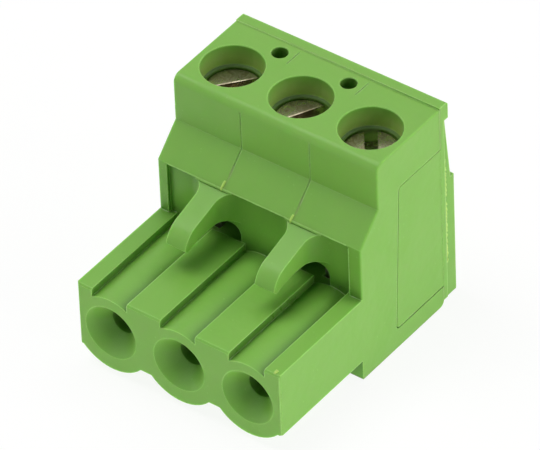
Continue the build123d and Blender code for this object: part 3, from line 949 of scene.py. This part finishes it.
@dataclass
class MouldingMarks:
    """Small marks on the housing: nubs and lines of flash that the mould left, and dark specks."""

    seed: int = 7
    nubs: tuple[Nub, ...] = (
        Nub((-2.7, -0.72, 10.13), 0.75, 45.0),
        Nub((2.42, -0.78, 10.07), 0.6, 45.0),
        Nub((7.1, -8.86, 6.19), 0.36, 14.0),
    )
    nub_width: float = 0.2
    nub_height: float = 0.2
    nub_cuts: int = 3
    nub_taper: Span = (0.6, 0.35)
    nub_jitter: float = 0.08
    nub_turn: float = -6.0
    lines: tuple[FlashLine, ...] = (
        FlashLine("seam_flash_right", (7.37, 7.8, 3.0), (7.37, 7.8, 11.0), 0.26, 0.8, Plastic.FLASH),
        FlashLine("seam_weld_top", (-7.4, 7.28, 15.19), (7.4, 7.28, 15.19), 0.1, 0.2, Plastic.WALL),
        FlashLine("pocket_flash_top", (-6.7, -0.85, 9.96), (6.45, -0.85, 9.96), 0.1, 0.5, Plastic.EDGE),
        FlashLine("pocket_flash_right", (6.6, -0.85, 6.25), (6.6, -0.85, 9.75), 0.09, 0.5, Plastic.EDGE),
        FlashLine("pocket_flash_left", (-6.84, -0.85, 6.25), (-6.84, -0.85, 9.75), 0.09, 0.6, Plastic.EDGE),
        FlashLine("nose_flash_right", (7.42, -9.02, 1.5), (7.42, -9.02, 6.05), 0.13, 0.3, Plastic.EDGE),
        FlashLine("root_weld_left", (-4.6, -0.84, 9.89), (-2.0, -0.84, 9.89), 0.17, 0.1, Plastic.WALL),
        FlashLine("root_weld_right", (2.0, -0.84, 9.89), (4.6, -0.84, 9.89), 0.17, 0.1, Plastic.WALL),
    )
    line_sides: int = 8
    ring_step: float = 0.09
    thinning: float = 1.5
    sway: float = 0.12
    spot_plastic: DarkSpeck = DarkSpeck()
    specks: tuple[DarkSpot, ...] = (
        DarkSpot((-2.34, -0.605, 8.6), (0, -1, 0), 0.09),
        DarkSpot((1.85, -0.62, 8.78), (0, -1, 0), 0.06),
        DarkSpot((3.15, -8.31, 5.59), (0, 0, 1), 0.06),
        DarkSpot((5.7, -0.6, 6.17), (0, 0, 1), 0.06),
    )
    speck_detail: int = 3
    speck_unevenness: Span = (0.82, 1.0)
    speck_thickness: float = 0.25
    speck_seed_step: int = 10

    def fix(self, piece: Piece, material: Material) -> None:
        """Settle a finished mark and fix it to the housing.

        Args:
            piece: The finished mark.
            material: The mark's material.
        """
        settle(piece, material)
        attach(piece, "block")

    def add_nub(self, number: int, nub: Nub, material: Material) -> None:
        """Model one nub of flash, on the sloped shoulder or on a corner.

        Args:
            number: The nub's number.
            nub: Where the nub is and how it lies.
            material: The thin plastic of the flash, coloured pale as painted light shining through it.
        """
        bpy.ops.object.select_all(action="DESELECT")
        bpy.ops.mesh.primitive_cube_add(size=1)
        piece = new_piece(f"flash_nub_{number}")
        piece.scale = (self.nub_width * MM, nub.length * MM, self.nub_height * MM)
        bpy.ops.object.transform_apply(location=True, rotation=True, scale=True)
        bpy.ops.object.mode_set(mode="EDIT")
        bpy.ops.mesh.select_all(action="SELECT")
        bpy.ops.mesh.subdivide(number_cuts=self.nub_cuts)
        bpy.ops.object.mode_set(mode="OBJECT")
        draw = random.Random(self.seed + number)
        taper_across, taper_along = self.nub_taper
        for vertex in piece.data.vertices:
            up_share = 0.5 + vertex.co.z / (self.nub_height * MM)
            vertex.co.x *= 1 - taper_across * up_share
            vertex.co.y *= 1 - taper_along * up_share
            vertex.co.x += draw.uniform(-self.nub_jitter, self.nub_jitter) * self.nub_width * MM
        apply_modifier(piece, "SUBSURF", levels=1, render_levels=1)
        piece.rotation_euler = (math.radians(nub.tilt), 0, math.radians(self.nub_turn))
        piece.location = Vector(nub.place) * MM
        self.fix(piece, material)
        LOG.info("flash nub %d is %.2f mm long", number, nub.length)

    def add_line(self, number: int, line: FlashLine, material: Material) -> None:
        """Model one thin line of flash or weld, as a row of uneven rings.

        Args:
            number: The line's number, which seeds its unevenness.
            line: Where the line runs and how ragged it is.
            material: The line's plastic.
        """
        start, end = Vector(line.start) * MM, Vector(line.end) * MM
        run = end - start
        cuts = int(run.length / (self.ring_step * MM))
        bpy.ops.object.select_all(action="DESELECT")
        bpy.ops.mesh.primitive_cylinder_add(
            vertices=self.line_sides, radius=line.width * MM / 2, depth=run.length
        )
        piece = new_piece(line.name)
        bpy.ops.object.transform_apply(location=True, rotation=True, scale=True)
        select_edges(piece, lambda first, second: abs(first.z - second.z) > run.length / 2)
        bpy.ops.mesh.subdivide(number_cuts=cuts)
        bpy.ops.object.mode_set(mode="OBJECT")
        draw = random.Random(self.seed + number)
        drift = line.ragged * self.sway * line.width
        rings = [
            (1 - line.ragged * draw.random() ** self.thinning, draw.uniform(-drift, drift))
            for _ in range(cuts + 2)
        ]
        for vertex in piece.data.vertices:
            share, shift = rings[round((vertex.co.z / run.length + 0.5) * (cuts + 1))]
            vertex.co.x = vertex.co.x * share
            vertex.co.y = vertex.co.y * share + shift * MM
        piece.rotation_euler = run.to_track_quat("Z", "Y").to_euler()
        piece.location = (start + end) / 2
        self.fix(piece, material)
        LOG.info("%s is %.1f mm long", line.name, run.length / MM)

    def add_speck(self, number: int, speck: DarkSpot, material: Material) -> None:
        """Model one dark speck that lies flush in a wall.

        Args:
            number: The speck's number.
            speck: Where the speck is and how large.
            material: The speck's matt dark plastic.
        """
        bpy.ops.object.select_all(action="DESELECT")
        bpy.ops.mesh.primitive_ico_sphere_add(subdivisions=self.speck_detail, radius=speck.radius * MM)
        piece = new_piece(f"dark_spot_{number}")
        draw = random.Random(self.seed + self.speck_seed_step * number)
        for vertex in piece.data.vertices:
            vertex.co *= draw.uniform(*self.speck_unevenness)
        piece.scale = (1.0, 1.0, self.speck_thickness)
        piece.rotation_euler = Vector(speck.normal).to_track_quat("Z", "Y").to_euler()
        piece.location = Vector(speck.place) * MM
        self.fix(piece, material)
        LOG.info("burnt speck %d is %.2f mm across", number, 2 * speck.radius)

    def build(self) -> None:
        """Model all the marks."""
        plastics = {kind: plastic.material() for kind, plastic in MARK_PLASTICS.items()}
        spot_plastic = self.spot_plastic.material()
        for number, nub in enumerate(self.nubs, start=1):
            self.add_nub(number, nub, plastics[Plastic.FLASH])
        for number, line in enumerate(self.lines, start=1):
            self.add_line(number, line, plastics[line.plastic])
        for number, speck in enumerate(self.specks, start=1):
            self.add_speck(number, speck, spot_plastic)


def outward(azimuth: float, elevation: float) -> Vector:
    """Give the direction from the block to a lamp or to the camera.

    Args:
        azimuth: Radians from the front, towards the right.
        elevation: Radians above the floor.

    Returns:
        A vector of length 1.
    """
    level = math.cos(elevation)
    return Vector((math.sin(azimuth) * level, -math.cos(azimuth) * level, math.sin(elevation)))


@dataclass
class Lamp:
    """A square soft box that faces the block, with its angles in degrees and its sizes in metres."""

    name: str
    azimuth: float
    elevation: float
    level: float
    distance: float = 0.5
    size: float = 0.3
    tint: str = "#FFFFFF"

    def hang(self, target: Vector) -> None:
        """Add the lamp. A level of 1 lights a facing white surface to full white.

        Args:
            target: The point that the lamp faces.
        """
        back = outward(math.radians(self.azimuth), math.radians(self.elevation))
        light = bpy.data.lights.new(self.name, "AREA")
        light.size = self.size
        light.energy = self.level * math.pi ** 2 * self.distance ** 2
        light.color = linear(self.tint)[:3]
        lamp = bpy.data.objects.new(self.name, light)
        bpy.context.scene.collection.objects.link(lamp)
        lamp.location = target + back * self.distance
        lamp.rotation_euler = (-back).to_track_quat("-Z", "Y").to_euler()


@dataclass
class Studio:
    """The camera at the photograph's viewing angle, the soft lamps, the sky and the white floor."""

    azimuth: float = 38.16
    elevation: float = 40.54
    roll: float = -2.418
    distance: float = 0.48169
    target: Point = (0.000234, -0.0001, 0.008006)
    lens: float = 539.88
    sensor: float = 36.0
    nearest: float = 0.01
    sky_level: float = 0.02
    floor_reach: float = 1.5
    floor_finish: StudioWhite = StudioWhite()
    lamps: tuple[Lamp, ...] = (
        Lamp("over_left_soft_box", azimuth=-72, elevation=68, level=0.5),
        Lamp("over_back_soft_box", azimuth=180, elevation=65, level=0.21),
        Lamp("right_soft_box", azimuth=90, elevation=14, level=0.38),
        Lamp("right_back_soft_box", azimuth=135, elevation=30, level=0.17),
        Lamp("left_front_soft_box", azimuth=-45, elevation=20, level=0.08),
        Lamp("left_soft_box", azimuth=-90, elevation=14, level=0.14),
    )

    def place_camera(self) -> None:
        """Stand the camera where the photograph was taken from."""
        azimuth = math.radians(self.azimuth)
        elevation = math.radians(self.elevation)
        roll = math.radians(self.roll)
        back = outward(azimuth, elevation)
        level_right = Vector((math.cos(azimuth), math.sin(azimuth), 0))
        level_up = back.cross(level_right)
        right = level_right * math.cos(roll) + level_up * math.sin(roll)
        up = level_up * math.cos(roll) - level_right * math.sin(roll)
        turn = Matrix((right, up, back)).transposed()
        camera = bpy.data.objects.new("camera", bpy.data.cameras.new("camera"))
        bpy.context.scene.collection.objects.link(camera)
        camera.data.sensor_width = self.sensor
        camera.data.lens = self.lens
        camera.data.clip_start = self.nearest
        camera.matrix_world = Matrix.Translation(Vector(self.target) + back * self.distance) @ turn.to_4x4()
        bpy.context.scene.camera = camera

    def light(self) -> None:
        """Hang the lamps under a dim sky that is seen as plain white."""
        for lamp in self.lamps:
            lamp.hang(Vector(self.target))
        world = bpy.data.worlds.new("studio_sky")
        world.use_nodes = True
        tree = world.node_tree
        tree.nodes.clear()
        level = add_node(tree, "ShaderNodeMapRange", {
            "Value": seen_directly(tree), "To Min": self.sky_level,
        })
        sky = add_node(tree, "ShaderNodeBackground", {"Color": WHITE, "Strength": level.outputs["Result"]})
        add_node(tree, "ShaderNodeOutputWorld", {"Surface": sky.outputs["Background"]})
        bpy.context.scene.world = world

    def lay_floor(self) -> None:
        """Lay the white floor that the block stands on."""
        bpy.ops.object.select_all(action="DESELECT")
        bpy.ops.mesh.primitive_plane_add(size=2 * self.floor_reach)
        floor = new_piece("floor")
        floor.data.materials.append(self.floor_finish.material())

    def build(self) -> None:
        """Set up the whole studio."""
        bpy.context.scene.view_settings.view_transform = "Standard"
        self.place_camera()
        self.light()
        self.lay_floor()
        LOG.info("studio has %d lamps", len(self.lamps))


def main() -> None:
    """Build the scene in order."""
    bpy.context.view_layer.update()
    Studio().build()
    Body().build()
    ClampScrew().build()
    MouldingMarks().build()


if __name__ == "__main__":
    main()
